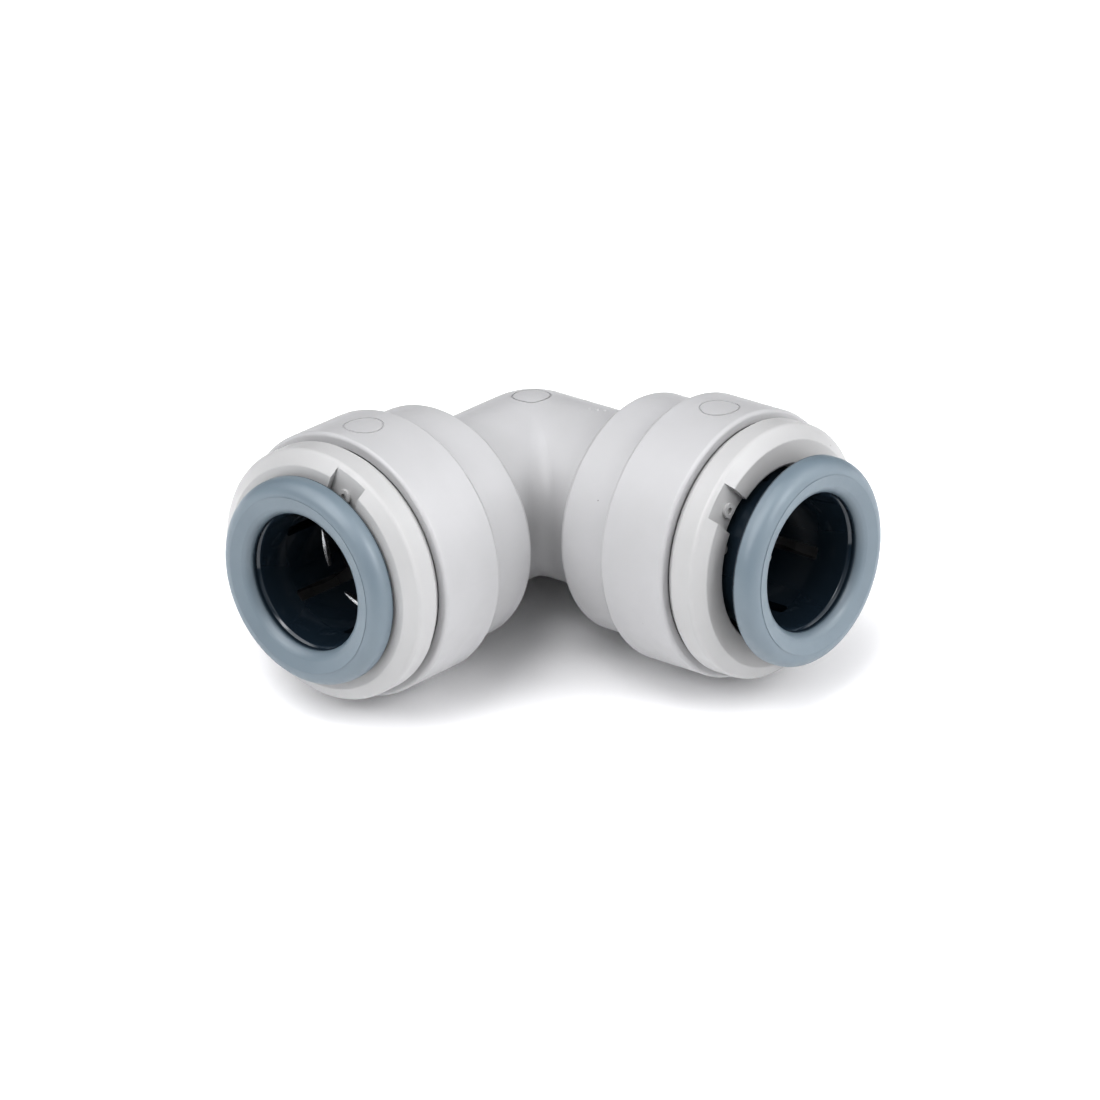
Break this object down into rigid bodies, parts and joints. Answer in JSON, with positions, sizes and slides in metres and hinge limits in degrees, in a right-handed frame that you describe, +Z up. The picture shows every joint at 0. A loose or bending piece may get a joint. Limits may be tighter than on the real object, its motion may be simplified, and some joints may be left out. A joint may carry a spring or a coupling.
{
  "type": "push to connect tube fitting",
  "caption": "Equal elbow push-fit fitting: light grey body and caps, blue-grey release collets that slide in and out to grip or free the tube.",
  "frame": {"origin": "the point where the two port axes cross, in the middle of the round elbow", "axes": "+X out of the right port, -Y out of the left port, +Z up out of the plane of the two tubes"},
  "size_m": [0.0372, 0.0356, 0.02],
  "materials": {
    "body": "satin moulded acetal, light grey",
    "cap": "satin moulded acetal, light grey",
    "collet": "satin moulded acetal, blue-grey",
    "tooth": "bright stainless strip",
    "seal": "smooth nitrile rubber",
    "spacer": "moulded acetal, light grey"
  },
  "bodies": {
    "fitting": {"elbow_body": "body", "left_cap": "cap", "left_o_ring": "seal", "left_spacer": "spacer", "right_cap": "cap", "right_o_ring": "seal", "right_spacer": "spacer"},
    "left_release": {"left_collet": "collet", "left_tooth_1": "tooth", "left_tooth_2": "tooth", "left_tooth_3": "tooth", "left_tooth_4": "tooth", "left_tooth_5": "tooth", "left_tooth_6": "tooth"},
    "right_release": {"right_collet": "collet", "right_tooth_1": "tooth", "right_tooth_2": "tooth", "right_tooth_3": "tooth", "right_tooth_4": "tooth", "right_tooth_5": "tooth", "right_tooth_6": "tooth"}
  },
  "joints": [
    {"name": "left_collet_slide", "type": "slide", "parent": "fitting", "child": "left_release", "axis": [0, -1, 0], "range_m": [0, 0.0016]},
    {"name": "right_collet_slide", "type": "slide", "parent": "fitting", "child": "right_release", "axis": [1, 0, 0], "range_m": [-0.0016, 0]}
  ]
}
